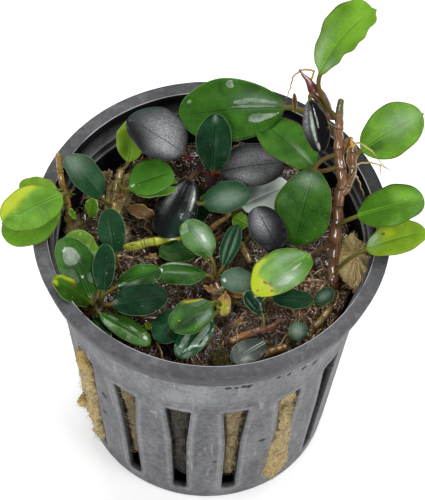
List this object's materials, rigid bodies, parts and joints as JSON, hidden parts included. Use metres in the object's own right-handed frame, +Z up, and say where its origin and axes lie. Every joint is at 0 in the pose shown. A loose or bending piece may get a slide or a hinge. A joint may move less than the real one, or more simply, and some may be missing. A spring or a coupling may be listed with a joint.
{
  "type": "potted aquarium plant",
  "caption": "Clump of small oval glossy leaves on creeping stems, rooted in rock wool inside a slotted, tapered net pot.",
  "frame": {"origin": "centre of the pot's underside, on the surface that it stands on", "axes": "+Z up along the pot's axis, -Y towards the front of the pot, +X to the right as seen from the front"},
  "size_m": [0.0643, 0.055, 0.0763],
  "materials": {
    "net_pot": "satin",
    "rock_wool": "matte",
    "bark": "satin",
    "dark_bark": "satin",
    "runner": "satin",
    "sheath": "satin",
    "leaf_fresh": "satin",
    "leaf_green": "satin",
    "leaf_dark": "satin",
    "leaf_black": "satin",
    "leaf_grey": "satin"
  },
  "bodies": {
    "root": {"back_left_leaf_dark": "leaf_dark", "back_left_leaf_round": "leaf_green", "back_left_leaf_under": "leaf_fresh", "back_left_leaf_yellow": "leaf_fresh", "back_left_stem": "bark", "centre_leaf_behind": "leaf_dark", "centre_leaf_glossy": "leaf_dark", "centre_leaf_spotted": "leaf_green", "centre_rhizome": "bark", "dark_shoot_leaf_folded": "leaf_black", "dark_shoot_leaf_front": "leaf_dark", "dark_shoot_leaf_left": "leaf_black", "dark_shoot_leaf_right": "leaf_black", "dark_shoot_leaf_under": "leaf_dark", "dark_shoot_leaf_upright": "leaf_dark", "dark_shoot_stem": "dark_bark", "front_left_crown": "bark", "front_left_leaf_behind": "leaf_fresh", "front_left_leaf_edge": "leaf_green", "front_left_leaf_glossy": "leaf_green", "front_left_leaf_large": "leaf_green", "front_left_leaf_outer": "leaf_fresh", "front_left_leaf_right": "leaf_dark", "front_left_leaf_right_behind": "leaf_green", "front_left_leaf_tall": "leaf_dark", "front_left_leaf_upright": "leaf_dark", "front_rhizome": "bark", "front_right_leaf_far": "leaf_dark", "front_right_leaf_folded": "leaf_dark", "front_right_leaf_grey": "leaf_grey", "front_right_leaf_long": "leaf_dark", "front_right_leaf_small": "leaf_dark", "left_leaf_behind": "leaf_fresh", "left_leaf_large": "leaf_fresh", "left_leaf_sprout": "leaf_fresh", "left_leaf_under": "leaf_fresh", "left_stem": "bark", "middle_leaf_black": "leaf_black", "middle_leaf_grey": "leaf_grey", "middle_leaf_left": "leaf_green", "middle_leaf_low": "leaf_green", "middle_leaf_narrow": "leaf_dark", "middle_leaf_pale": "leaf_green", "middle_leaf_right": "leaf_dark", "middle_leaf_round": "leaf_green", "net_pot": "net_pot", "rock_wool": "rock_wool", "runner": "runner", "tall_shoot_leaf_back": "leaf_green", "tall_shoot_leaf_black": "leaf_black", "tall_shoot_leaf_front": "leaf_green", "tall_shoot_leaf_left": "leaf_green", "tall_shoot_leaf_low": "leaf_fresh", "tall_shoot_leaf_right_lower": "leaf_fresh", "tall_shoot_leaf_right_middle": "leaf_fresh", "tall_shoot_leaf_right_upper": "leaf_fresh", "tall_shoot_leaf_top": "leaf_fresh", "tall_stem": "bark", "tall_stem_fork": "bark", "young_leaf_sheath": "sheath"}
  },
  "joints": []
}
